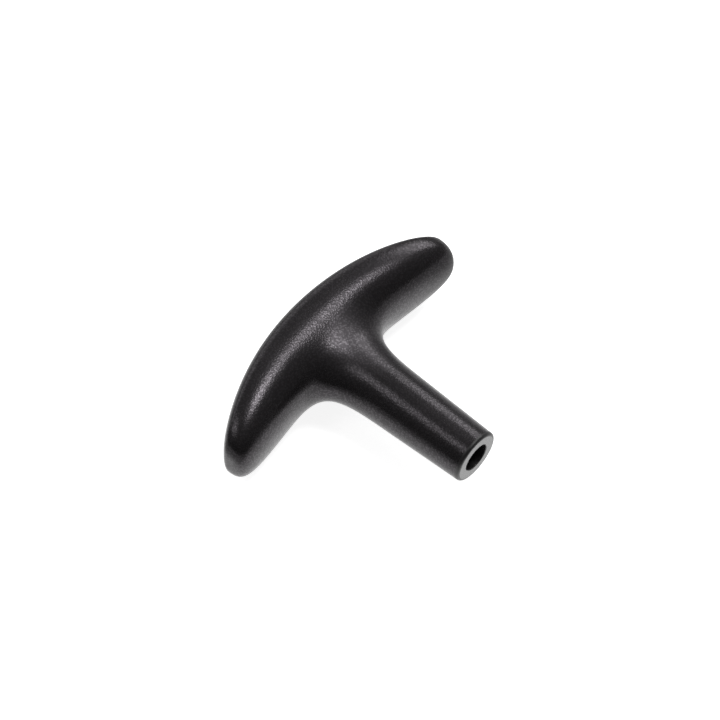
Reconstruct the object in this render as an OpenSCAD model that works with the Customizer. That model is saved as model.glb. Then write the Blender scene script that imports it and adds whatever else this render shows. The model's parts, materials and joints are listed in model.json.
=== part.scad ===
// Starter handle: a moulded T grip for a recoil starter cord.
// A rounded crown bar runs along X, a tapering round stem leaves it toward -Y, and the whole grip lies on one
// side, so Z is its thickness. The skin is one smooth surface. It is found along rays that leave the middle lines
// of the stem and of the bar, at the distance where a blend of the two solids passes through zero.
// The cord bore, the cord hole and the knot pocket are turned round the stem's own axis.

/* [Crown bar] */
// Length of the bar from tip to tip, in mm.
bar_w = 100; // [90:1:130]
// Height of the bar over the stem, measured along the stem, in mm.
crown_h = 20.9; // [19:0.1:24]
// Height that the bar tapers to at its tips, before they round off, in mm.
tip_h = 14; // [12:0.2:17]
// Thickness of the bar across the stem, at its centre, in mm.
crown_t = 30.8; // [27:0.2:34]
// Thickness that the bar tapers to at its tips, before they round off, in mm.
tip_t = 27.8; // [23:0.2:30]
// Height of the bar's widest line over its middle line, at the centre, in mm.
widest_up = 5.2; // [2:0.2:6.2]
// How far the bar's middle line falls from the centre to the tips, in mm.
crown_drop = 11; // [7:0.2:13]
// Squareness of the bar's section over its widest line: 2 is an ellipse.
outer_square = 2.4; // [2.1:0.1:3.4]
// Squareness of the section under that line, where the fingers pull: 2 is an ellipse.
finger_square = 2.3; // [2.1:0.1:3.2]
// Bluntness of the tips: larger values make them blunter.
tip_square = 4.1; // [3.4:0.1:5]

/* [Stem] */
// Length of the grip from the stem's end face to the top of the crown, in mm.
grip_len = 73; // [66:1:88]
// Diameter of the stem at its end face, in mm.
stem_end_d = 17.4; // [16:0.1:19.4]
// Diameter of the stem where it starts to flare into the bar, in mm.
stem_root_d = 20.9; // [19.6:0.1:22.4]
// Rounding of the edge round the end face, in mm.
end_round = 1; // [0.6:0.1:1.6]
// Width of the flare between the stem and the finger side of the bar, in mm.
side_blend = 16.5; // [13:0.5:21]
// Width of the softer step between the stem and the broad sides of the bar, in mm.
face_blend = 8.5; // [6:0.5:12]

/* [Cord way] */
// Diameter of the bore in the end face, in mm.
bore_d = 9.4; // [7:0.1:10.5]
// Depth of that bore from the end face, in mm.
bore_depth = 28; // [12:1:34]
// Chamfer at the mouth of the bore, in mm.
bore_lead = 0.4; // [0.2:0.1:0.8]
// Diameter of the hole that the cord passes through, in mm.
cord_d = 5; // [3.5:0.1:6]
// Diameter of the pocket in the crown that takes the knot, in mm.
knot_d = 13; // [11:0.5:14]
// Depth of the knot pocket below the top of the crown, in mm.
knot_depth = 15; // [10:1:18]

/* [Hidden] */

// Half sizes, and the height of the bar's middle line over the end face.
half_w = bar_w / 2;
half_h = crown_h / 2;
half_t = crown_t / 2;
mid_v = grip_len - half_h;
tip_taper = 1 - tip_h / crown_h;
thick_taper = 1 - tip_t / crown_t;
// The stem's round nose ends inside the bar, so that only the flare of the stem shapes the skin.
nose_v = mid_v - half_h;
// Where the flare begins on the stem and ends along the bar, and where the tips start.
flare_v = nose_v - side_blend + 2;
flare_x = stem_root_d / 2 + 0.75 * side_blend;
tip_x = half_w * 0.76;
tip_reach = half_w - tip_x;

// Steps of the skin: round a quarter section, along the flare, the plain arm, the tip and the end face's edge.
ROUND = 14;
FLARE = 16;
ARM = 7;
TIP = 22;
EDGE = 4;
// Search length of a ray and the number of halvings, which leaves 0.00001 mm.
RAY = 40;
HALVINGS = 22;

function drop(x) = crown_drop * pow(x / half_w, 2);
function bar_half_h(x) = half_h * (1 - tip_taper * pow(min(1, abs(x) / half_w), 2));
function bar_half_t(x) = half_t * (1 - thick_taper * pow(min(1, abs(x) / half_w), 2));
function stem_r(v) = (stem_end_d + (stem_root_d - stem_end_d) * v / nose_v) / 2;

// Signed gap to the bar: a section rounded by two powers, over and under its widest line, and closed toward the
// tips by a third.
function bar_gap(p) =
    let (
        u = abs(p[0]) / half_w,
        h = bar_half_h(p[0]),
        lift = widest_up * h / half_h,
        dv = p[1] - mid_v + drop(p[0]) - lift,
        side = dv > 0 ? h - lift : h + lift,
        n = dv > 0 ? outer_square : finger_square,
        q = pow(pow(abs(dv) / side, n) + pow(abs(p[2]) / bar_half_t(p[0]), n), 1 / n)
    )
    h * (pow(pow(q, tip_square) + pow(u, tip_square), 1 / tip_square) - 1);

// Signed gap to the stem: a slow cone with a ball nose.
function stem_gap(p) = norm([p[0], max(0, p[1] - nose_v), p[2]]) - stem_r(min(p[1], nose_v));

// Width of the blend: it turns from the broad sides at x = 0 to the finger side at z = 0.
function blend_width(p) =
    face_blend + (side_blend - face_blend) * p[0] * p[0] / (p[0] * p[0] + p[2] * p[2] + 1);

// Smooth union of the two gaps: zero on the skin, negative inside.
function skin_gap(p) =
    let (
        a = bar_gap(p),
        b = stem_gap(p),
        k = blend_width(p),
        s = max(0, 1 - abs(a - b) / k)
    )
    min(a, b) - k * pow(s, 3) / 6;

// Distance from o along the unit direction d to the skin, by halving.
function reach(o, d, near = 0, far = RAY, n = HALVINGS) =
    let (mid = (near + far) / 2)
    n == 0 ? mid
    : skin_gap(o + mid * d) < 0 ? reach(o, d, mid, far, n - 1)
    : reach(o, d, near, mid, n - 1);

// A quarter section: rays from foot f that turn from the outline direction w up to +Z.
function section(f, w, t) = [
    for (m = [0 : ROUND])
        let (
            a = 90 * m / ROUND,
            ray = [w[0] * cos(a), w[1] * cos(a), t * sin(a)],
            d = ray / norm(ray)
        )
        f + reach(f, d) * d
];

// A quarter circle round the stem's axis.
function circle_section(v, r) = [
    for (m = [0 : ROUND])
        let (a = 90 * m / ROUND)
        [r * cos(a), v, r * sin(a)]
];

function middle(x) = [x, mid_v - drop(x), 0];

// Feet and outline directions of the flare: up the stem's axis to the bar, then out along the bar.
function flare_foot(s) = s < 0.5 ? [0, flare_v + (mid_v - flare_v) * 2 * s, 0] : middle(flare_x * (2 * s - 1));
function flare_aim(s) =
    let (
        a = [stem_r(flare_v), flare_v, 0],
        b = [flare_x, mid_v - drop(flare_x) - bar_half_h(flare_x), 0],
        c = [stem_r(nose_v), b[1], 0]
    )
    (1 - s) * (1 - s) * a + 2 * s * (1 - s) * c + s * s * b - flare_foot(s);

// Arm positions from the end of the flare to the tip.
arm_x = [for (i = [1 : ARM]) flare_x + (tip_x - flare_x) * i / ARM];
// Bar positions over the flare, from its end back to the centre.
back_x = [for (i = [FLARE : -1 : FLARE / 2]) flare_x * (2 * i / FLARE - 1)];

// The quarter skin, as sections from the end face round the outline to the top of the crown.
// The first section lies below the end face, and is faced off with it.
quarter = concat(
    [circle_section(-0.6, stem_r(0) - 1.35 * end_round)],
    [
        for (i = [0 : EDGE])
            let (
                a = 8 + 82 * i / EDGE,
                v = end_round * (1 - cos(a))
            )
            circle_section(v, stem_r(v) - end_round * (1 - sin(a)))
    ],
    [for (i = [0 : FLARE]) section(flare_foot(i / FLARE), flare_aim(i / FLARE), half_t)],
    [for (x = arm_x) section(middle(x), [0, -bar_half_h(x)], half_t)],
    [
        for (i = [1 : TIP - 1])
            let (a = 180 * i / TIP - 90)
            section(middle(tip_x), [tip_reach * cos(a), bar_half_h(tip_x) * sin(a)], half_t)
    ],
    [for (i = [ARM - 1 : -1 : 0]) section(middle(arm_x[i]), [0, bar_half_h(arm_x[i])], half_t)],
    [for (x = back_x) section(middle(x), [0, bar_half_h(x)], half_t)]
);
ROWS = len(quarter);
SPAN = ROUND + 1;
// The widest point of the skin decides how high the middle plane lies over the floor.
mid_z = max([for (row = quarter, p = row) p[2]]);
// The knot pocket takes the very top away, so its rim is the highest place that is left.
rim_foot = middle(knot_d / 2);
rim_v = rim_foot[1] + reach(rim_foot, [0, 1, 0]);

// The four mirror images of the quarter, each with its own points.
MIRRORS = [[1, 1], [-1, 1], [-1, -1], [1, -1]];
skin_points = [
    for (m = MIRRORS, row = quarter, p = row)
        [m[0] * p[0], p[1] - rim_v / 2, m[1] * p[2] + mid_z]
];

function at(image, row, col) = (image * ROWS + row) * SPAN + col;
// A cell next to a shared foot has lost one side, so it keeps three corners.
function cell(image, row, col) =
    let (
        folded = col == ROUND - 1 && norm(quarter[row][ROUND] - quarter[row + 1][ROUND]) < 0.0001,
        loop = [
            at(image, row, col),
            at(image, row + 1, col),
            if (!folded) at(image, row + 1, col + 1),
            at(image, row, col + 1)
        ]
    )
    MIRRORS[image][0] * MIRRORS[image][1] > 0 ? loop : [for (i = [len(loop) - 1 : -1 : 0]) loop[i]];

skin_faces = concat(
    [for (image = [0 : 3], row = [0 : ROWS - 2], col = [0 : ROUND - 1]) cell(image, row, col)],
    [[
        for (col = [0 : ROUND - 1]) at(0, 0, col),
        for (col = [ROUND : -1 : 1]) at(1, 0, col),
        for (col = [0 : ROUND - 1]) at(2, 0, col),
        for (col = [ROUND : -1 : 1]) at(3, 0, col)
    ]]
);

module skin() {
    polyhedron(points = skin_points, faces = skin_faces, convexity = 6);
}

// Turned about the stem's axis: the end face, the bore with its chamfer, the cord hole and the knot pocket.
module cord_way() {
    translate([0, -rim_v / 2, mid_z])
        rotate([-90, 0, 0]) {
            translate([0, 0, -3])
                cylinder(h = 3, d = stem_end_d + 4);
            translate([0, 0, -1])
                cylinder(h = bore_depth + 1, d = bore_d);
            translate([0, 0, -0.1])
                cylinder(h = bore_lead + 0.1, d1 = bore_d + 2 * bore_lead + 0.2, d2 = bore_d);
            cylinder(h = grip_len, d = cord_d);
            translate([0, 0, grip_len - knot_depth])
                cylinder(h = knot_depth + 5, d = knot_d);
        }
}

module handle() {
    color([0.09, 0.09, 0.1])
        difference() {
            skin();
            cord_way();
        }
}

handle();
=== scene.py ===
"""Starter handle: the looks of a moulded T grip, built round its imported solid.

The grip is one moulding. Its skin blends a rounded crown bar with a tapering round stem, and the
cord way is turned about the stem's axis. Shapes are worked out in millimetres: x runs along the bar,
v up the stem from its end face, and z across the thickness from the middle plane. In the frame,
which is in metres, v runs along y.
"""

import json
import logging
import math
from dataclasses import dataclass
from enum import Enum

import bpy
import numpy as np
from mathutils import Matrix, Vector


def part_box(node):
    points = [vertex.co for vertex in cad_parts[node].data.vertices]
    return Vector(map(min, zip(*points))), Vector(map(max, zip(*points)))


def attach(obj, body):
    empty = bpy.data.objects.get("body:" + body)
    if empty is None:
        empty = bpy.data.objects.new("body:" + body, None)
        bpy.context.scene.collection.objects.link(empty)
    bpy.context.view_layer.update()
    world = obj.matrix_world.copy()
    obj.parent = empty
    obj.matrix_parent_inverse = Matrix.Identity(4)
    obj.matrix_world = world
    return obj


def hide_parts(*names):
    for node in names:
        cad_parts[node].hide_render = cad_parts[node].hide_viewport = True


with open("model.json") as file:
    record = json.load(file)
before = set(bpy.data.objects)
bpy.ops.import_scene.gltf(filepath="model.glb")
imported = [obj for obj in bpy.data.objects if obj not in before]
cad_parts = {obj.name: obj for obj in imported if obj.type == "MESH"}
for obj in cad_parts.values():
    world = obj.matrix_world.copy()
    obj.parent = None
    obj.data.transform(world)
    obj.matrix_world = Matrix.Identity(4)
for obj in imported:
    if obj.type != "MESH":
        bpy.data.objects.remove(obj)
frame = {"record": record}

MM = 0.001
NODE = "handle"
BODY = "root"
PLASTIC_IOR = 1.5
# Width of the picture, which is square, and of the camera's sensor.
PICTURE_PX = 720
SENSOR_MM = 36.0
# Points that round to the same multiple of this become one.
WELD_MM = 0.0007

Pair = tuple[float, float]
Triple = tuple[float, float, float]
Colour = tuple[float, float, float, float]
Values = np.ndarray | float
Socket = bpy.types.NodeSocket

log = logging.getLogger("starter_handle")


def columns(*values: Values) -> np.ndarray:
    """Spread values to one shape and stack them as the coordinates of points, in a last axis."""
    return np.stack(np.broadcast_arrays(*values), -1)


def quarter_turn(steps: int) -> np.ndarray:
    """Angles from 0 to a right angle, in even steps."""
    return np.linspace(0, np.pi / 2, steps + 1)


def add_object(name: str, data: bpy.types.ID) -> bpy.types.Object:
    """Put a mesh, a lamp or a camera into the scene.

    Args:
        name: Name of the object.
        data: What it holds.

    Returns:
        The object, at the origin.
    """
    thing = bpy.data.objects.new(name, data)
    bpy.context.scene.collection.objects.link(thing)
    return thing


class Finish(Enum):
    """Finish of a face of the grip. The value is the place of its material in the mesh's list.

    GRAINED is the skin's, POLISHED the end ring's, MATTE that of the end's edge and the cord way.
    """

    GRAINED = 0
    POLISHED = 1
    MATTE = 2


@dataclass(frozen=True)
class GripSizes:
    """Driving sizes of the grip, in millimetres. Those without a default come from the frame.

    Attributes:
        bar_w: Length of the bar from tip to tip.
        end_y: Place of the end face on the frame's y axis.
        thickness: Thickness of the whole grip.
        bore_d: Diameter of the bore in the end face.
        bore_depth: Depth of the bore from the end face.
        cord_d: Diameter of the cord hole.
        knot_d: Diameter of the knot pocket.
        knot_floor: Height of the knot pocket's floor.
        grip_len: Height of the crown's top, before the knot pocket takes it away.
        crown_h: Height of the bar at its centre, along the stem.
        tip_h: The same at its tips, before they round off.
        crown_t: Thickness of the bar at its centre.
        tip_t: The same at its tips, before they round off.
        widest_up: Height of the bar's widest line over its middle line, at the centre.
        crown_drop: Fall of the middle line from the centre to the tips.
        outer_square: Squareness of the section over its widest line, where 2 is an ellipse.
        finger_square: The same under that line.
        tip_square: Bluntness of the tips.
        tip_share: Share of half the bar at which a tip starts.
        stem_end_d: Diameter of the stem at its end face.
        stem_root_d: The same where its nose starts, inside the bar.
        side_blend: Width of the flare between the stem and the bar's finger side.
        face_blend: Width of the softer step to its broad sides.
        flare_late: Height of the flare's first ray over the blend's lower end.
        flare_share: Reach of its last ray along the bar, as a share of side_blend.
        end_round: Rounding of the end face's outer edge.
        edge_top: Height at which the skin takes over from that edge.
        mouth_w: Width of the rounded edge at the bore's mouth.
        polish_depth: Depth of the end ring's polish in the bore.
        knot_round: Rounding of the knot pocket's rim and floor.
    """

    bar_w: float
    end_y: float
    thickness: float
    bore_d: float
    bore_depth: float
    cord_d: float
    knot_d: float
    knot_floor: float
    grip_len: float = 73.0
    crown_h: float = 20.9
    tip_h: float = 14.0
    crown_t: float = 30.8
    tip_t: float = 27.8
    widest_up: float = 5.2
    crown_drop: float = 11.0
    outer_square: float = 2.4
    finger_square: float = 2.3
    tip_square: float = 4.1
    tip_share: float = 0.76
    stem_end_d: float = 17.4
    stem_root_d: float = 20.9
    side_blend: float = 16.5
    face_blend: float = 8.5
    flare_late: float = 2.0
    flare_share: float = 0.75
    end_round: float = 0.9
    edge_top: float = 1.2
    mouth_w: float = 0.2
    polish_depth: float = 0.8
    knot_round: float = 0.5

    @classmethod
    def from_frame(cls) -> "GripSizes":
        """Read the overall sizes from the solid's box and the cord way from the record's mounts.

        Returns:
            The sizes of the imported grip.
        """
        low, high = (np.array(corner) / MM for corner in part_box(NODE))
        mounts = {mount["name"]: mount for mount in frame["record"]["mounts"]}

        def diameter(name: str) -> float:
            """Diameter of a bore."""
            return 2 * mounts[name]["dims"]["r_mm"]

        def inner_end(name: str) -> float:
            """Height of the end of a bore's wall that lies farther from the end face."""
            return mounts[name]["pos_m"][1] / MM - low[1] + mounts[name]["dims"]["length_mm"] / 2

        return cls(
            bar_w=high[0] - low[0],
            end_y=low[1],
            thickness=high[2] - low[2],
            bore_d=diameter("stem_bore"),
            bore_depth=inner_end("stem_bore"),
            cord_d=diameter("cord_hole"),
            knot_d=diameter("knot_pocket"),
            knot_floor=inner_end("cord_hole"),
        )

    @property
    def half_w(self) -> float:
        """Half the bar's length."""
        return self.bar_w / 2

    @property
    def half_h(self) -> float:
        """Half the bar's height at the centre."""
        return self.crown_h / 2

    @property
    def half_t(self) -> float:
        """Half the bar's thickness at the centre."""
        return self.crown_t / 2

    @property
    def mid_v(self) -> float:
        """Height of the bar's middle line at the centre."""
        return self.grip_len - self.half_h

    @property
    def nose_v(self) -> float:
        """Height at which the stem's ball nose starts, inside the bar."""
        return self.mid_v - self.half_h

    @property
    def flare_v(self) -> float:
        """Height at which the rays of the flare start."""
        return self.nose_v - self.side_blend + self.flare_late

    @property
    def flare_x(self) -> float:
        """Distance from the centre at which they end along the bar."""
        return self.stem_root_d / 2 + self.flare_share * self.side_blend

    @property
    def tip_x(self) -> float:
        """Distance from the centre at which the round tips start."""
        return self.tip_share * self.half_w


@dataclass(frozen=True)
class Rays:
    """Rays from inside the grip: feet and aims, (..., 3) each. An aim may have any length."""

    feet: np.ndarray
    aims: np.ndarray

    @classmethod
    def joined(cls, *parts: "Rays") -> "Rays":
        """Several lists of rays as one list."""
        return cls(np.concatenate([p.feet for p in parts]), np.concatenate([p.aims for p in parts]))

    def toward(self, other: "Rays", share: np.ndarray) -> "Rays":
        """Rays between these and others: (1 - share) * these + share * others."""
        feet = (1 - share) * self.feet + share * other.feet
        return Rays(feet, (1 - share) * self.aims + share * other.aims)


@dataclass(frozen=True)
class GripSkin:
    """The grip's skin: the zero surface of a smooth blend of two solids, the bar and the stem.

    Attributes:
        size: Sizes of the grip.
        axis_soft: Area, in square millimetres, that keeps the blend's width steady at the axis.
    """

    size: GripSizes
    axis_soft: float = 1.0

    def drop(self, x: Values) -> Values:
        """Fall of the bar's middle line: crown_drop times the square of x over half the bar."""
        return self.size.crown_drop * (x / self.size.half_w) ** 2

    def bar_half_h(self, x: Values) -> Values:
        """Half height of the bar: half_h at the centre, tip_h / 2 at the tips, by a parabola."""
        share = np.minimum(1, np.abs(x) / self.size.half_w)
        return self.size.half_h - (self.size.crown_h - self.size.tip_h) / 2 * share**2

    def bar_half_t(self, x: Values) -> Values:
        """Half thickness of the bar: half_t at the centre, tip_t / 2 at the tips, by a parabola."""
        share = np.minimum(1, np.abs(x) / self.size.half_w)
        return self.size.half_t - (self.size.crown_t - self.size.tip_t) / 2 * share**2

    def stem_r(self, v: Values) -> Values:
        """Radius of the stem: stem_end_d / 2 at 0, stem_root_d / 2 at nose_v, by a straight line."""
        grow = (self.size.stem_root_d - self.size.stem_end_d) / self.size.nose_v
        return (self.size.stem_end_d + grow * v) / 2

    def middle(self, x: Values) -> np.ndarray:
        """Points of the bar's middle line over x, as (x, mid_v - drop(x), 0)."""
        return columns(x, self.size.mid_v - self.drop(x), 0.0)

    def bar_gap(self, p: np.ndarray) -> np.ndarray:
        """Signed gap to the bar: a section rounded by two powers, closed at the tips by a third one.

        Args:
            p: Points (x, v, z), as an array with 3 in its last place.

        Returns:
            h * ((q^m + (x / w)^m)^(1 / m) - 1), with q^n = (dv / side)^n + (z / t)^n. The height dv
            is measured from the widest line, side is how far the section reaches from that line on
            the side where the point lies, and n is the squareness of that side.
        """
        s = self.size
        along = np.abs(p[..., 0]) / s.half_w
        h = self.bar_half_h(p[..., 0])
        lift = s.widest_up * h / s.half_h
        dv = p[..., 1] - s.mid_v + self.drop(p[..., 0]) - lift
        side = np.where(dv > 0, h - lift, h + lift)
        n = np.where(dv > 0, s.outer_square, s.finger_square)
        across = np.abs(p[..., 2]) / self.bar_half_t(p[..., 0])
        q = ((np.abs(dv) / side) ** n + across**n) ** (1 / n)
        m = s.tip_square
        return h * ((q**m + along**m) ** (1 / m) - 1)

    def stem_gap(self, p: np.ndarray) -> np.ndarray:
        """Signed gap to the stem: a slow cone, closed by a ball nose.

        Args:
            p: Points (x, v, z), as an array with 3 in its last place.

        Returns:
            The distance from the axis less stem_r, and over nose_v that from the axis' end there.
        """
        s = self.size
        over = np.maximum(0, p[..., 1] - s.nose_v)
        away = np.sqrt(p[..., 0] ** 2 + over**2 + p[..., 2] ** 2)
        return away - self.stem_r(np.minimum(p[..., 1], s.nose_v))

    def gap(self, p: np.ndarray) -> np.ndarray:
        """Signed gap to the skin: the lesser of the two gaps, lowered where they are alike.

        Args:
            p: Points (x, v, z), as an array with 3 in its last place.

        Returns:
            min(bar, stem) - k * s^3 / 6, with s = 1 - |bar - stem| / k and never under 0. It is
            negative inside. The blend's width k turns from face_blend over the broad sides to
            side_blend on the finger side, by the share x^2 / (x^2 + z^2 + axis_soft).
        """
        size = self.size
        bar, stem = self.bar_gap(p), self.stem_gap(p)
        side = p[..., 0] ** 2 / (p[..., 0] ** 2 + p[..., 2] ** 2 + self.axis_soft)
        k = size.face_blend + (size.side_blend - size.face_blend) * side
        s = np.maximum(0, 1 - np.abs(bar - stem) / k)
        return np.minimum(bar, stem) - k * s**3 / 6

    def reach(self, rays: Rays, far: float = 40.0, halvings: int = 34) -> np.ndarray:
        """Points where rays leave the skin, found by halving the stretch that holds the crossing.

        Args:
            rays: Rays that start inside the grip.
            far: A distance at which every ray is outside.
            halvings: Number of halvings.

        Returns:
            One point on the skin for each ray, (..., 3).
        """
        aims = rays.aims / np.linalg.norm(rays.aims, axis=-1, keepdims=True)
        feet = np.broadcast_to(rays.feet, aims.shape)
        near = np.zeros(aims.shape[:-1])
        beyond = np.full(aims.shape[:-1], far)
        for _ in range(halvings):
            half = (near + beyond) / 2
            inside = self.gap(feet + half[..., None] * aims) < 0
            near = np.where(inside, half, near)
            beyond = np.where(inside, beyond, half)
        return feet + ((near + beyond) / 2)[..., None] * aims

    def sections(self, rays: Rays, steps: int) -> np.ndarray:
        """Quarter sections, by rays that turn from the outline up to +z.

        Args:
            rays: One ray for each section, (rows, 3). Its aim (x, v, z) is toward the outline in x
                and v, and has the section's depth in z.
            steps: Steps from the outline to the broad side.

        Returns:
            Points on the skin, (rows, steps + 1, 3). Angle a aims at (x cos a, v cos a, z sin a).
        """
        turn = quarter_turn(steps)
        share = columns(np.cos(turn), np.cos(turn), np.sin(turn))
        return self.reach(Rays(rays.feet[:, None, :], rays.aims[:, None, :] * share))


@dataclass(frozen=True)
class Patch:
    """A quarter of a surface, for x and z above 0: points, four corners a face, and its finish."""

    points: np.ndarray
    corners: np.ndarray
    finish: Finish

    @classmethod
    def grid(cls, points: np.ndarray, finish: Finish) -> "Patch":
        """A patch with one four-cornered face to each cell of a grid.

        Args:
            points: Points of the grid, (rows, columns, 3).
            finish: Finish of the faces.

        Returns:
            The patch.
        """
        rows, places = points.shape[:2]
        index = np.arange(rows * places).reshape(rows, places)
        corners = np.stack([index[:-1, :-1], index[1:, :-1], index[1:, 1:], index[:-1, 1:]], -1)
        return cls(points.reshape(-1, 3), corners.reshape(-1, 4), finish)

    @classmethod
    def gather(cls, inner: np.ndarray, outer: np.ndarray, finish: Finish) -> "Patch":
        """A flat ring between two rows, where the outer one has k steps to each inner step.

        Args:
            inner: Row of n + 1 points.
            outer: Row of k * n + 1 points.
            finish: Finish of the faces.

        Returns:
            The patch, with k triangles fanned to each inner point and one that closes each inner
            step. A triangle has its first corner twice.
        """
        n = len(inner) - 1
        k = (len(outer) - 1) // n
        step = np.arange(n)
        hub = np.repeat(step, k)
        rim = np.arange(k * n) + n + 1
        fans = np.stack([hub, hub, rim + 1, rim], -1)
        closing = np.stack([step, step, step + 1, n + 1 + k * step + k], -1)
        return cls(np.concatenate([inner, outer]), np.concatenate([fans, closing]), finish)


@dataclass(frozen=True)
class CordWay:
    """The turned part of the grip: profiles of radius and height round the stem's axis.

    Attributes:
        skin: Skin of the grip. It holds the sizes, and those here are in millimetres too.
        arc_steps: Steps of each rounding.
        hole_round: Rounding at both ends of the cord hole.
        floor_round: Rounding round the bore's inner floor.
        mouth_round: Rounding between the bore's wall and the slant at its mouth.
        face_round: Rounding between that slant and the end face.
        brim_share: Width of the end face's edge, as a share of its rounding.
        lip_w: Width of the flat ring round the cord hole in the knot pocket's floor.
        seam_depth: Depth under that floor at which the two profiles of the cord hole meet.
    """

    skin: GripSkin
    arc_steps: int = 5
    hole_round: float = 0.25
    floor_round: float = 0.3
    mouth_round: float = 0.2
    face_round: float = 0.1
    brim_share: float = 1.05
    lip_w: float = 0.8
    seam_depth: float = 1.0

    @property
    def bore_r(self) -> float:
        """Radius of the bore."""
        return self.skin.size.bore_d / 2

    @property
    def cord_r(self) -> float:
        """Radius of the cord hole."""
        return self.skin.size.cord_d / 2

    @property
    def brim(self) -> Triple:
        """Corner where the flat end ring turns into the end face's edge."""
        return self.skin.stem_r(0) - self.brim_share * self.skin.size.end_round, 0, 0

    def rounded(self, *corners: Triple) -> np.ndarray:
        """A profile with its corners rounded by arcs.

        Args:
            *corners: (radius, height, rounding) of each corner. The first and the last stay sharp.

        Returns:
            Points (radius, height). A corner's arc runs between the points that lie
            rounding / tan(half) along its two sides, where half is half the corner's angle, round
            the centre that lies rounding / sin(half) along the middle of the two sides.
        """
        path = [np.array(corners[0][:2])]
        for before, corner, after in zip(corners, corners[1:], corners[2:]):
            c = np.array(corner[:2])
            a = np.array(before[:2]) - c
            b = np.array(after[:2]) - c
            a, b = a / np.linalg.norm(a), b / np.linalg.norm(b)
            half = math.acos(float(np.clip(a @ b, -1, 1))) / 2
            centre = c + (a + b) / np.linalg.norm(a + b) * corner[2] / math.sin(half)
            start = c + a * corner[2] / math.tan(half) - centre
            stop = c + b * corner[2] / math.tan(half) - centre
            share = np.linspace(0, 1, self.arc_steps + 1)[:, None]
            sweep = math.pi - 2 * half
            arc = np.sin((1 - share) * sweep) * start + np.sin(share * sweep) * stop
            path.extend(centre + arc / math.sin(sweep))
        path.append(np.array(corners[-1][:2]))
        return np.array(path)

    def bore_wall(self) -> np.ndarray:
        """Profile down the cord hole, over the bore's floor and down its wall to the polish."""
        s = self.skin.size
        return self.rounded(
            (self.cord_r, s.knot_floor - self.seam_depth, 0),
            (self.cord_r, s.bore_depth, self.hole_round),
            (self.bore_r, s.bore_depth, self.floor_round),
            (self.bore_r, s.polish_depth, 0),
        )

    def end_ring(self) -> np.ndarray:
        """Profile of the polish: out of the bore, over its mouth and across the flat end ring."""
        s = self.skin.size
        return self.rounded(
            (self.bore_r, s.polish_depth, 0),
            (self.bore_r, s.mouth_w, self.mouth_round),
            (self.bore_r + s.mouth_w, 0, self.face_round),
            self.brim,
        )

    def end_edge(self) -> np.ndarray:
        """Profile of the end face's outer edge, from the brim to where the skin starts.

        Returns:
            Points (radius, height).
        """
        s, stem_r = self.skin.size, self.skin.stem_r
        corner, top = (stem_r(0), 0, s.end_round), (stem_r(s.edge_top), s.edge_top, 0)
        return self.rounded(self.brim, corner, top)

    def hole_lip(self) -> np.ndarray:
        """Profile across the inner ring of the knot pocket's floor and into the cord hole."""
        floor_v = self.skin.size.knot_floor
        return self.rounded(
            (self.cord_r + self.lip_w, floor_v, 0),
            (self.cord_r, floor_v, self.hole_round),
            (self.cord_r, floor_v - self.seam_depth, 0),
        )

    @staticmethod
    def turned(profile: np.ndarray, steps: int) -> np.ndarray:
        """Turn a profile a quarter round the stem.

        Args:
            profile: Points (radius, height), (rows, 2).
            steps: Steps of the turn.

        Returns:
            Points (r cos a, v, r sin a), (rows, steps + 1, 3).
        """
        turn = quarter_turn(steps)
        r, v = profile[:, :1], profile[:, 1:]
        return columns(r * np.cos(turn), v, r * np.sin(turn))


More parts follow.
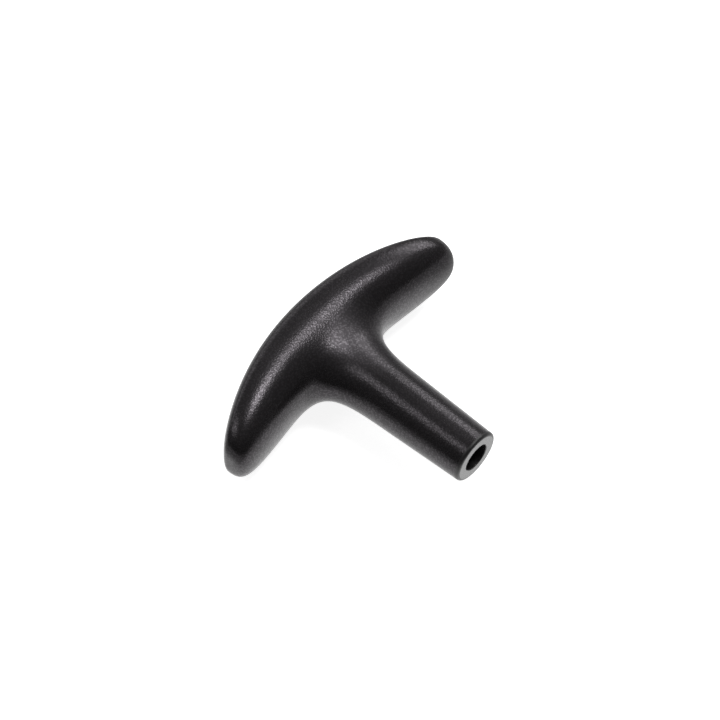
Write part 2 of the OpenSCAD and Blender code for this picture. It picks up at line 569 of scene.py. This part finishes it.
@dataclass(frozen=True)
class Grip:
    """The whole grip as one closed mesh, made of a quarter and its three mirror images.

    Attributes:
        size: Sizes of the grip.
        round_steps: Steps round a quarter section.
        stem_steps: Steps up the stem, under the flare.
        flare_steps: Steps through the flare.
        arm_steps: Steps along each side of an arm.
        tip_steps: Steps round a tip.
        crown_steps: Rings between the knot pocket and the border of the crown's top.
        lip_steps: Steps of the knot pocket's roundings.
        wall_steps: Steps down the knot pocket's wall.
    """

    size: GripSizes
    round_steps: int = 32
    stem_steps: int = 20
    flare_steps: int = 128
    arm_steps: int = 24
    tip_steps: int = 56
    crown_steps: int = 32
    lip_steps: int = 6
    wall_steps: int = 8

    @property
    def skin(self) -> GripSkin:
        """Skin of the grip."""
        return GripSkin(self.size)

    def stem_rays(self) -> Rays:
        """Rays up the stem's axis, square to it, as deep as they are wide."""
        v = np.linspace(self.size.edge_top, self.size.flare_v, self.stem_steps + 1)[:-1]
        return Rays(columns(0.0, v, 0.0), columns(self.skin.stem_r(v), 0.0, self.skin.stem_r(v)))

    def flare_rays(self) -> Rays:
        """Rays through the flare, for a share t from the stem to the arm.

        Returns:
            Rays whose feet go up the stem's axis to the bar and then out along its middle line.
            They aim at a curve of three points, (1 - t)^2 a + 2 t (1 - t) c + t^2 b, from a on the
            stem to b under the bar. Their depth grows from the stem's radius to half_t.
        """
        s, skin = self.size, self.skin
        t = np.linspace(0, 1, self.flare_steps + 1)
        feet = skin.middle(s.flare_x * np.maximum(0, 2 * t - 1))
        rise = s.flare_v + (s.mid_v - s.flare_v) * np.minimum(1, 2 * t)
        feet[:, 1] = np.where(2 * t < 1, rise, feet[:, 1])
        finger_v = s.mid_v - skin.drop(s.flare_x) - skin.bar_half_h(s.flare_x)
        a = np.array([skin.stem_r(s.flare_v), s.flare_v])
        b = np.array([s.flare_x, finger_v])
        c = np.array([skin.stem_r(s.nose_v), finger_v])
        t = t[:, None]
        target = (1 - t) ** 2 * a + 2 * t * (1 - t) * c + t**2 * b
        depth = (1 - t) * a[0] + t * s.half_t
        return Rays(feet, np.concatenate([target - feet[:, :2], depth], -1))

    def arm_rays(self, x: np.ndarray, side: int) -> Rays:
        """Rays from the middle line at places x, toward the finger side, -1, or the crown, 1."""
        aims = columns(0.0, side * self.skin.bar_half_h(x), self.size.half_t)
        return Rays(self.skin.middle(x), aims)

    def tip_rays(self) -> Rays:
        """Rays round a tip, all from the place on the middle line where the tip starts.

        Returns:
            Rays half_t deep that aim at half a turn of an ellipse, (reach_x cos a, reach_v sin a).
        """
        s, skin = self.size, self.skin
        turn = np.linspace(-np.pi / 2, np.pi / 2, self.tip_steps + 1)[1:-1]
        reach_x, reach_v = s.half_w - s.tip_x, skin.bar_half_h(s.tip_x)
        aims = columns(reach_x * np.cos(turn), reach_v * np.sin(turn), s.half_t)
        return Rays(np.tile(skin.middle(s.tip_x), (len(turn), 1)), aims)

    def outline_rays(self) -> Rays:
        """Rays of the sections from the stem's end round the finger side to the top of the arm."""
        s = self.size
        return Rays.joined(
            self.stem_rays(),
            self.flare_rays(),
            self.arm_rays(np.linspace(s.flare_x, s.tip_x, self.arm_steps + 1)[1:], -1),
            self.tip_rays(),
            self.arm_rays(np.linspace(s.tip_x, s.flare_x, self.arm_steps + 1), 1),
        )

    def crown_points(self) -> np.ndarray:
        """The crown's top between the arms, as rings round the knot pocket.

        Returns:
            Points (rings, columns, 3). A ring is a share of the way from the pocket's rim, where
            rays run up parallel to the stem, to the border, where they leave the bar's middle line
            square to it. The border runs over the end of the flare from the outline to the broad
            side, and then along the broad side to the centre.
        """
        s, skin = self.size, self.skin
        side_steps = self.flare_steps // 2
        turn = quarter_turn(self.round_steps)
        over = columns(0.0, skin.bar_half_h(s.flare_x) * np.cos(turn), s.half_t * np.sin(turn))
        over /= np.linalg.norm(over, axis=1, keepdims=True)
        side_x = s.flare_x * np.linspace(1, 0, side_steps + 1)[1:]
        border = Rays.joined(
            Rays(np.tile(skin.middle(s.flare_x), (len(turn), 1)), over),
            Rays(skin.middle(side_x), np.tile([0.0, 0.0, 1.0], (side_steps, 1))),
        )

        radius = s.knot_d / 2 + s.knot_round
        turn = quarter_turn(self.round_steps + side_steps)
        rim = Rays(skin.middle(radius * np.cos(turn)), np.array([0.0, 1.0, 0.0]))
        rim.feet[:, 2] = radius * np.sin(turn)
        share = np.linspace(0, 1, self.crown_steps + 1)[:, None, None]
        return skin.reach(rim.toward(border, share))

    def pocket_points(self, rim: np.ndarray) -> np.ndarray:
        """The knot pocket's wall: a quarter round under its rim, then straight down to its floor.

        Args:
            rim: The skin's points round the pocket, (columns, 3).

        Returns:
            Points (rows, columns, 3). With the rounding q and the pocket's radius r, those of the
            rim's rounding are (r + q - q sin a, rim - q + q cos a) in radius and height, and those
            of the floor's are (r - q + q cos a, floor + q - q sin a).
        """
        q, r, floor_v = self.size.knot_round, self.size.knot_d / 2, self.size.knot_floor
        turn = quarter_turn(self.lip_steps)[:, None]
        share = np.linspace(0, 1, self.wall_steps + 1)[1:-1, None]
        lip_v = rim[:, 1] - q + q * np.cos(turn)
        wall_v = (1 - share) * lip_v[-1] + share * (floor_v + q)
        foot_v = np.broadcast_to(floor_v + q - q * np.sin(turn), lip_v.shape)
        out = np.concatenate([r + q - q * np.sin(turn), r + 0 * share, r - q + q * np.cos(turn)])
        up = np.concatenate([lip_v, wall_v, foot_v])
        radial = rim * np.array([1, 0, 1]) / (r + q)
        return out[..., None] * radial + up[..., None] * np.array([0, 1, 0])

    def patches(self) -> list[Patch]:
        """Every surface of the quarter, each one with its last row or ring shared with the next.

        Returns:
            The patches, with the corners of each face in the same sense, outward.
        """
        way, steps = CordWay(self.skin), self.round_steps
        crown = self.crown_points()
        pocket = self.pocket_points(crown[0])
        hole_lip = way.turned(way.hole_lip(), steps)
        return [
            Patch.grid(way.turned(way.bore_wall(), steps), Finish.MATTE),
            Patch.grid(way.turned(way.end_ring(), steps), Finish.POLISHED),
            Patch.grid(way.turned(way.end_edge(), steps), Finish.MATTE),
            Patch.grid(self.skin.sections(self.outline_rays(), steps), Finish.GRAINED),
            Patch.grid(crown[:, ::-1], Finish.GRAINED),
            Patch.grid(pocket, Finish.MATTE),
            Patch.gather(hole_lip[0], pocket[-1], Finish.MATTE),
            Patch.grid(hole_lip, Finish.MATTE),
        ]

    def welded(self) -> tuple[np.ndarray, np.ndarray, np.ndarray]:
        """Join the patches and their mirror images over x and z, with shared points made one.

        Returns:
            Points (n, 3), faces (m, 4) as numbers of points, and the finish of each face. An odd
            number of mirrors turns a face round, so that all faces point outwards.
        """
        points, corners, finishes, count = [], [], [], 0
        for patch in self.patches():
            for side in (1, -1):
                for face in (1, -1):
                    points.append(patch.points * np.array([side, 1, face]))
                    turned = patch.corners if side * face > 0 else patch.corners[:, ::-1]
                    corners.append(turned + count)
                    finishes.append(np.full(len(patch.corners), patch.finish.value))
                    count += len(patch.points)
        places = np.concatenate(points)
        keys = np.round(places / WELD_MM).astype(np.int64)
        _, first, number = np.unique(keys, axis=0, return_index=True, return_inverse=True)
        return places[first], number.reshape(-1)[np.concatenate(corners)], np.concatenate(finishes)

    def build(self, name: str, materials: list[bpy.types.Material]) -> bpy.types.Object:
        """Make the grip's mesh in the frame's place. A corner like the one before it is dropped.

        Args:
            name: Name of the piece.
            materials: One material for each finish, in the order of their values.

        Returns:
            The piece, smooth shaded, at the origin.
        """
        points, faces, finish = self.welded()
        keep = faces != np.roll(faces, 1, axis=1)
        real = keep.sum(1) > 2
        faces, keep, finish = faces[real], keep[real], finish[real]
        lengths = keep.sum(1)

        mesh = bpy.data.meshes.new(name)
        mesh.vertices.add(len(points))
        placed = points + np.array([0, self.size.end_y, self.size.thickness / 2])
        mesh.vertices.foreach_set("co", (placed * MM).astype(np.float32).ravel())
        mesh.loops.add(int(lengths.sum()))
        mesh.loops.foreach_set("vertex_index", faces[keep].astype(np.int32))
        mesh.polygons.add(len(faces))
        mesh.polygons.foreach_set("loop_start", (np.cumsum(lengths) - lengths).astype(np.int32))
        mesh.polygons.foreach_set("material_index", finish.astype(np.int32))
        mesh.polygons.foreach_set("use_smooth", np.ones(len(faces), bool))
        for material in materials:
            mesh.materials.append(material)
        mesh.update(calc_edges=True)
        mesh.validate()
        piece = add_object(name, mesh)
        piece.modifiers.new("even_normals", "WEIGHTED_NORMAL").keep_sharp = True
        return piece


class Nodes:
    """A short hand for wiring a node tree: a call adds a node, sets its sockets and returns it."""

    def __init__(self, tree: bpy.types.NodeTree) -> None:
        """Keep the tree and empty it."""
        self.tree = tree
        tree.nodes.clear()

    def add(self, kind: str, settings: dict | None = None, **sockets: object) -> bpy.types.Node:
        """Add a node.

        Args:
            kind: Blender's type name for the node.
            settings: Properties of the node.
            **sockets: Inputs by name, with _ for a space, or i0, i1 and so on by number. A socket
                is linked, and any other value is set.

        Returns:
            The node.
        """
        node = self.tree.nodes.new(kind)
        for key, value in (settings or {}).items():
            setattr(node, key, value)
        for key, value in sockets.items():
            by_number = key[1:].isdigit()
            socket = node.inputs[int(key[1:]) if by_number else key.replace("_", " ")]
            if isinstance(value, Socket):
                self.tree.links.new(value, socket)
            else:
                socket.default_value = value
        return node

    def place(self) -> Socket:
        """The place on the object, in metres."""
        return self.add("ShaderNodeTexCoord").outputs["Object"]

    def math(self, operation: str, *values: object) -> Socket:
        """The result of a Math node on up to three values or sockets."""
        sockets = {f"i{i}": value for i, value in enumerate(values)}
        return self.add("ShaderNodeMath", {"operation": operation}, **sockets).outputs[0]

    def vector(self, operation: str, *values: object, **more: object) -> Socket:
        """The result of a Vector Math node, which is a number for a distance or a dot product.

        Args:
            operation: Blender's name for the operation.
            *values: Vectors or sockets, in the order of the inputs.
            **more: Other inputs by name.

        Returns:
            The output that holds the result.
        """
        sockets = {f"i{i}": value for i, value in enumerate(values)}
        node = self.add("ShaderNodeVectorMath", {"operation": operation}, **sockets, **more)
        return node.outputs["Value" if operation in ("DISTANCE", "DOT_PRODUCT") else "Vector"]

    def ramp(self, value: Socket, start: Pair, to: Pair = (0, 1)) -> Socket:
        """A value carried by a smooth step from the range start, which may fall, to the range to."""
        return self.add(
            "ShaderNodeMapRange",
            {"interpolation_type": "SMOOTHSTEP"},
            Value=value,
            From_Min=start[0],
            From_Max=start[1],
            To_Min=to[0],
            To_Max=to[1],
        ).outputs[0]

    def noise(self, place: Socket, size_mm: float, detail: float) -> bpy.types.Node:
        """A Noise Texture node whose spots are about size_mm wide."""
        return self.add("ShaderNodeTexNoise", Vector=place, Scale=1 / (size_mm * MM), Detail=detail)

    def bump(self, height: Socket, depth_mm: float) -> Socket:
        """The normal of a Bump node, for a height of 1 that stands depth_mm out."""
        bump = self.add("ShaderNodeBump", Height=height, Strength=1.0, Distance=depth_mm * MM)
        return bump.outputs[0]


class SurfaceFinish:
    """A finish that can be made into a material."""

    def surface(self, nodes: Nodes) -> bpy.types.Node:
        """Wire the finish's shader and return its last node."""
        raise NotImplementedError

    def build(self, name: str) -> bpy.types.Material:
        """Make the material.

        Args:
            name: Name of the material.

        Returns:
            The material, with the finish's shader as its surface.
        """
        material = bpy.data.materials.new(name)
        material.use_nodes = True
        nodes = Nodes(material.node_tree)
        shader = self.surface(nodes)
        nodes.add("ShaderNodeOutputMaterial", Surface=shader.outputs[0])
        return material


@dataclass(frozen=True)
class GrainedPlastic(SurfaceFinish):
    """Black moulded plastic with the fine leathery grain of a spark-eroded mould.

    Attributes:
        colour: Base colour.
        tint: Tint of the mirrored light.
        shade: Share of the colour in the gaps of the grain and on its raised spots. This is painted
            shade: darker in the gaps, lighter on the spots.
        shade_step: Grain and drift together at which these two shares are reached.
        roughness: Middle roughness outside the hollow.
        shine: Specular level outside the hollow.
        hollow_mm: Middle of the hollow between the stem and the bar, on the frame's x and y.
        hollow_step_mm: Distances from it at which the hollow's finish fades out and is full.
        hollow_rough: Roughness that the hollow adds.
        hollow_shine: Specular level that the hollow adds.
        pebble_mm: Width of a raised spot.
        pebble_soft: How far the spots flow into each other.
        pebble_step: Distances from a spot's middle at which its height is 0 and 1.
        pebble_rough: Roughness that a spot's top adds.
        bend_mm: Width of the slow noise that bends the spots.
        bend_share: Reach of that bend, as a share of a spot's width.
        grit_mm: Width of the finer grit.
        grit_share: Height of the grit, as a share of a spot's.
        depth_mm: Height of a spot.
        cavity: Share of the shine that the gaps lose and the spots gain.
        cavity_step: Heights of the grain at which these two shares are reached.
        drift_mm: Width of the slow unevenness of gloss and shade.
        drift_rough: Range of the roughness that it brings.
        drift_shade: Its share in the shade.
    """

    colour: Triple = (0.0125, 0.0114, 0.012)
    tint: Colour = (1.0, 0.93, 1.0, 1.0)
    # Painted shade: the colour is darker in the gaps of the grain and lighter on its raised spots.
    shade: Pair = (0.82, 1.12)
    shade_step: Pair = (0.2, 1.3)
    roughness: float = 0.28
    shine: float = 0.5
    hollow_mm: Triple = (4.5, 11.5, 0.0)
    hollow_step_mm: Pair = (15.0, 5.0)
    hollow_rough: float = 0.12
    hollow_shine: float = 0.28
    pebble_mm: float = 0.62
    pebble_soft: float = 0.7
    pebble_step: Pair = (0.75, 0.1)
    pebble_rough: float = -0.06
    bend_mm: float = 1.4
    bend_share: float = 0.9
    grit_mm: float = 0.2
    grit_share: float = 0.45
    depth_mm: float = 0.013
    cavity: float = 0.27
    cavity_step: Pair = (0.2, 0.95)
    drift_mm: float = 14.0
    drift_rough: float = 0.1
    drift_shade: float = 0.5

    def pebbles(self, nodes: Nodes, place: Socket) -> Socket:
        """The raised spots: rounded cells that a slow noise bends.

        Args:
            nodes: Nodes of the material.
            place: The place on the object.

        Returns:
            Their height, from 0 in the gaps to 1 on top.
        """
        bend = nodes.noise(place, self.bend_mm, detail=2.0).outputs["Color"]
        shift = nodes.vector("SCALE", bend, Scale=self.bend_share * self.pebble_mm * MM)
        cells = nodes.add(
            "ShaderNodeTexVoronoi",
            {"feature": "SMOOTH_F1"},
            Vector=nodes.vector("ADD", place, shift),
            Scale=1 / (self.pebble_mm * MM),
            Smoothness=self.pebble_soft,
            Randomness=1.0,
        )
        return nodes.ramp(cells.outputs["Distance"], self.pebble_step)

    def in_hollow(self, nodes: Nodes, place: Socket) -> Socket:
        """How far a place lies in the hollow, seen along the thickness.

        Args:
            nodes: Nodes of the material.
            place: The place on the object.

        Returns:
            A share, from 0 outside to 1 in its middle.
        """
        flat = nodes.vector("MULTIPLY", place, (1.0, 1.0, 0.0))
        middle = tuple(value * MM for value in self.hollow_mm)
        far, near = self.hollow_step_mm
        return nodes.ramp(nodes.vector("DISTANCE", flat, middle), (far * MM, near * MM))

    def surface(self, nodes: Nodes) -> bpy.types.Node:
        """Wire the plastic's shader.

        Args:
            nodes: Nodes of the material.

        Returns:
            The shader. Its height is that of the spots plus a finer grit. Gloss, shine and shade
            change with the spots, and some of them with a slow drift and in the hollow. The shade
            that the spots bring is painted shade: the colour is darker in the gaps, lighter on top.
        """
        place = nodes.place()
        pebble = self.pebbles(nodes, place)
        grit = nodes.noise(place, self.grit_mm, detail=3.0).outputs[0]
        drift = nodes.noise(place, self.drift_mm, detail=2.0).outputs[0]
        hollow = self.in_hollow(nodes, place)

        height = nodes.math("MULTIPLY_ADD", grit, self.grit_share, pebble)
        middle = self.roughness - self.drift_rough / 2
        rough = nodes.math("MULTIPLY_ADD", drift, self.drift_rough, middle)
        rough = nodes.math("MULTIPLY_ADD", hollow, self.hollow_rough, rough)
        rough = nodes.math("MULTIPLY_ADD", pebble, self.pebble_rough, rough)
        shine = nodes.math("MULTIPLY_ADD", hollow, self.hollow_shine, self.shine)
        gain = nodes.ramp(pebble, self.cavity_step, (1 - self.cavity, 1 + self.cavity))
        # Painted shade from the grain's height (darker gaps, lighter spots), plus a slow random tone
        # from the drift.
        gap_shade_and_tone = nodes.math("MULTIPLY_ADD", drift, self.drift_shade, pebble)
        shade = nodes.ramp(gap_shade_and_tone, self.shade_step, self.shade)
        return nodes.add(
            "ShaderNodeBsdfPrincipled",
            Base_Color=nodes.vector("SCALE", self.colour, Scale=shade),
            Roughness=rough,
            IOR=PLASTIC_IOR,
            Specular_IOR_Level=nodes.math("MULTIPLY", shine, gain),
            Specular_Tint=self.tint,
            Normal=nodes.bump(height, self.depth_mm),
        )


@dataclass(frozen=True)
class SmoothPlastic(SurfaceFinish):
    """The same plastic without the grain, polished as on the end ring unless told otherwise.

    Attributes:
        colour: Base colour.
        shade: Shares of the colour between which a fine wave changes it.
        shade_step: Values of the wave at which these two shares are reached.
        roughness: Middle roughness.
        coat: Weight of the gloss over it.
        coat_rough: Roughness of that gloss.
        wave_mm: Width of the wave.
        wave_rough: Range of the roughness that it brings.
        depth_mm: Height of the wave.
    """

    colour: Triple = (0.022, 0.0205, 0.0215)
    shade: Pair = (0.9, 1.1)
    shade_step: Pair = (0.3, 0.7)
    roughness: float = 0.27
    coat: float = 0.3
    coat_rough: float = 0.2
    wave_mm: float = 1.1
    wave_rough: float = 0.12
    depth_mm: float = 0.006

    def surface(self, nodes: Nodes) -> bpy.types.Node:
        """Wire the plastic's shader.

        Args:
            nodes: Nodes of the material.

        Returns:
            The shader, with a slight unevenness of height, gloss and shade.
        """
        wave = nodes.noise(nodes.place(), self.wave_mm, detail=4.0).outputs[0]
        middle = self.roughness - self.wave_rough / 2
        shade = nodes.ramp(wave, self.shade_step, self.shade)
        return nodes.add(
            "ShaderNodeBsdfPrincipled",
            Base_Color=nodes.vector("SCALE", self.colour, Scale=shade),
            Roughness=nodes.math("MULTIPLY_ADD", wave, self.wave_rough, middle),
            IOR=PLASTIC_IOR,
            Coat_Weight=self.coat,
            Coat_Roughness=self.coat_rough,
            Normal=nodes.bump(wave, self.depth_mm),
        )


FINISHES = {
    Finish.GRAINED: GrainedPlastic(),
    Finish.POLISHED: SmoothPlastic(),
    Finish.MATTE: SmoothPlastic(colour=(0.014, 0.013, 0.0135), roughness=0.4, coat=0.0),
}


@dataclass(frozen=True)
class StudioPaper(SurfaceFinish):
    """White paper of the studio floor, which camera rays see evenly lit, with the grip's shadow.

    Attributes:
        colour: Colour of the paper.
        own_light: Light that the paper adds for camera rays.
        mirror_light: Painted glow that it adds for glossy and transmission rays round its centre, a
            pool of light on the paper that only the grip's reflections see.
        far_light: The same painted glow far from the centre.
        centre_mm: Centre of that painted pool of light, on the object.
        fade_mm: Distances from it at which the painted glow starts to fade and has faded.
    """

    colour: Colour = (0.8, 0.8, 0.8, 1.0)
    own_light: float = 0.86
    mirror_light: float = 1.0
    far_light: float = 0.04
    centre_mm: Triple = (-12.0, -9.0, 0.0)
    fade_mm: Pair = (42.0, 76.0)

    def surface(self, nodes: Nodes) -> bpy.types.Node:
        """Wire the paper's shader.

        Args:
            nodes: Nodes of the material.

        Returns:
            The shader: plain diffuse paper plus the light for each kind of ray.
        """
        paper = nodes.add("ShaderNodeBsdfDiffuse", Color=self.colour)
        rays = nodes.add("ShaderNodeLightPath").outputs
        centre = tuple(value * MM for value in self.centre_mm)
        start, stop = self.fade_mm
        away = nodes.vector("DISTANCE", nodes.place(), centre)
        # Painted pool of light on the paper, seen only in reflections, fading away from its centre.
        fade = nodes.ramp(away, (start * MM, stop * MM), (self.mirror_light, self.far_light))
        mirrored = nodes.math("MAXIMUM", rays["Is Glossy Ray"], rays["Is Transmission Ray"])
        seen = nodes.math("MULTIPLY", rays["Is Camera Ray"], self.own_light)
        level = nodes.math("MULTIPLY_ADD", mirrored, fade, seen)
        glow = nodes.add("ShaderNodeEmission", Strength=level)
        return nodes.add("ShaderNodeAddShader", i0=paper.outputs[0], i1=glow.outputs[0])


@dataclass(frozen=True)
class SoftBox:
    """A softbox of the studio, given by the direction that it shines from.

    Attributes:
        name: Name of the lamp.
        direction: Direction from the target to the lamp, of any length.
        distance: Distance between them, in metres.
        width: Width of the lamp, in metres.
        height: Height of the lamp, in metres.
        power: Power of the lamp, in watts.
    """

    name: str
    direction: Triple
    distance: float
    width: float
    height: float
    power: float

    def build(self, target: Vector) -> bpy.types.Object:
        """Place the lamp so that it faces the target.

        Args:
            target: The point that it lights.

        Returns:
            The lamp.
        """
        lamp = bpy.data.lights.new(self.name, "AREA")
        lamp.shape = "RECTANGLE"
        lamp.size = self.width
        lamp.size_y = self.height
        lamp.energy = self.power
        holder = add_object(self.name, lamp)
        toward = Vector(self.direction).normalized()
        holder.location = target + toward * self.distance
        holder.rotation_euler = toward.to_track_quat("Z", "Y").to_euler()
        return holder


@dataclass(frozen=True)
class Studio:
    """Floor, world, lamps and camera.

    Attributes:
        size: Sizes of the grip.
        azimuth: Angle of the camera round the vertical, in degrees.
        elevation: Angle of the camera over the floor, in degrees.
        roll: Roll of the camera, in degrees.
        distance: Distance of the camera from the grip, in metres.
        pixels_per_mm: Scale of the picture at that distance.
        aim_v: Height of a point on the stem's axis, in millimetres.
        aim_px: Place of that point in the picture, in pixels.
        clip: Near and far end of what the camera sees, in metres.
        floor_r: Radius of the floor's first and last ring, in metres.
        floor_rings: Number of its rings.
        floor_steps: Steps round a ring.
        room: Light that the grip gets from the room along +x, +y and +z.
        softboxes: The lamps.
    """

    size: GripSizes
    azimuth: float = -51.785
    elevation: float = 58.677
    roll: float = 2.418
    distance: float = 1.2
    pixels_per_mm: float = 3.318
    aim_v: float = 28.0
    aim_px: Pair = (404.91, 405.17)
    clip: Pair = (0.01, 50.0)
    floor_r: Pair = (0.2, 6.0)
    floor_rings: int = 8
    floor_steps: int = 96
    room: Triple = (0.19, 0.21, 0.17)
    softboxes: tuple[SoftBox, ...] = (
        SoftBox("top_softbox", (0.28, -0.16, 0.95), 1.0, 0.24, 0.24, 2.5),
        SoftBox("side_softbox", (0.76, 0.06, 0.62), 0.9, 0.42, 0.42, 2.1),
        SoftBox("left_softbox", (-0.42, 0.28, 0.84), 0.9, 0.30, 0.30, 0.65),
        SoftBox("rear_softbox", (0.20, 0.85, 0.52), 1.2, 1.70, 0.90, 3.7),
    )

    def middle(self, v: float) -> Vector:
        """Point at height v on the stem's axis, in metres."""
        return Vector((0, (self.size.end_y + v) * MM, self.size.thickness / 2 * MM))

    def floor(self) -> bpy.types.Object:
        """Lay a round sheet of paper under the grip, z = 0, as rings (r cos a, r sin a).

        Returns:
            The sheet, with one face inside its first ring.
        """
        r = np.geomspace(*self.floor_r, self.floor_rings)[:, None]
        a = np.linspace(0, 2 * np.pi, self.floor_steps + 1)[:-1]
        points = columns(r * np.cos(a), r * np.sin(a), 0.0)
        index = np.arange(r.size * a.size).reshape(r.size, a.size)
        beside = np.roll(index, -1, axis=1)
        quads = np.stack([index[:-1], index[1:], beside[1:], beside[:-1]], -1).reshape(-1, 4)
        mesh = bpy.data.meshes.new("floor")
        mesh.from_pydata(points.reshape(-1, 3).tolist(), [], [index[0].tolist()] + quads.tolist())
        mesh.materials.append(StudioPaper().build("studio_paper"))
        sheet = add_object("floor", mesh)
        return sheet

    def world(self) -> None:
        """Light the room: white to the camera, and to the grip a dim room, palest toward +x and +y.

        The grip's light is the dot product of room and the direction, with its negative parts at 0.
        """
        world = bpy.data.worlds.new("room")
        world.use_nodes = True
        nodes = Nodes(world.node_tree)
        direction = nodes.add("ShaderNodeTexCoord").outputs["Generated"]
        ahead = nodes.vector("MAXIMUM", direction, (0.0, 0.0, 0.0))
        dim = nodes.vector("DOT_PRODUCT", ahead, self.room)
        seen = nodes.add("ShaderNodeLightPath").outputs["Is Camera Ray"]
        level = nodes.math("MAXIMUM", dim, seen)
        sky = nodes.add("ShaderNodeBackground", Color=(1.0, 1.0, 1.0, 1.0), Strength=level)
        nodes.add("ShaderNodeOutputWorld", Surface=sky.outputs[0])
        bpy.context.scene.world = world

    def lamps(self) -> list[bpy.types.Object]:
        """Hang the softboxes round the middle of the grip's box."""
        target = Vector((0, 0, self.size.thickness / 2 * MM))
        return [box.build(target) for box in self.softboxes]

    def camera(self) -> bpy.types.Object:
        """Set the camera at the photograph's angle, with the grip at its place in the picture.

        Returns:
            The camera. It looks at what is in the middle of the picture, so it needs no shift.
        """
        azimuth, elevation = math.radians(self.azimuth), math.radians(self.elevation)
        level = Vector((math.cos(azimuth), math.sin(azimuth), 0))
        ahead = Vector(
            (
                -math.sin(azimuth) * math.cos(elevation),
                math.cos(azimuth) * math.cos(elevation),
                -math.sin(elevation),
            )
        )
        right = Matrix.Rotation(-math.radians(self.roll), 3, ahead) @ level
        up = right.cross(ahead)
        focal_px = self.pixels_per_mm * self.distance / MM
        off_x = (PICTURE_PX / 2 - self.aim_px[0]) / focal_px
        off_y = (self.aim_px[1] - PICTURE_PX / 2) / focal_px
        look = (ahead + off_x * right + off_y * up).normalized()
        across = look.cross(up).normalized()
        lens = bpy.data.cameras.new("camera")
        lens.sensor_width = SENSOR_MM
        lens.lens = focal_px * SENSOR_MM / PICTURE_PX
        lens.clip_start, lens.clip_end = self.clip
        camera = add_object("camera", lens)
        camera.location = self.middle(self.aim_v) - self.distance * ahead
        camera.rotation_euler = Matrix((across, across.cross(look), -look)).transposed().to_euler()
        bpy.context.scene.camera = camera
        return camera


def main() -> None:
    """Build the studio and the grip."""
    logging.basicConfig(level=logging.INFO, format="%(message)s")
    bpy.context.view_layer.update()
    size = GripSizes.from_frame()
    bpy.context.scene.view_settings.view_transform = "Standard"
    studio = Studio(size)
    studio.camera()
    studio.floor()
    studio.world()
    studio.lamps()
    log.info("studio: camera, floor, room and lamps")

    materials = [FINISHES[finish].build(f"{finish.name.lower()}_plastic") for finish in Finish]
    piece = Grip(size).build("grip", materials)
    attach(piece, BODY)
    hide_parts(NODE)
    log.info("grip: %d points, %d faces", len(piece.data.vertices), len(piece.data.polygons))


if __name__ == "__main__":
    main()
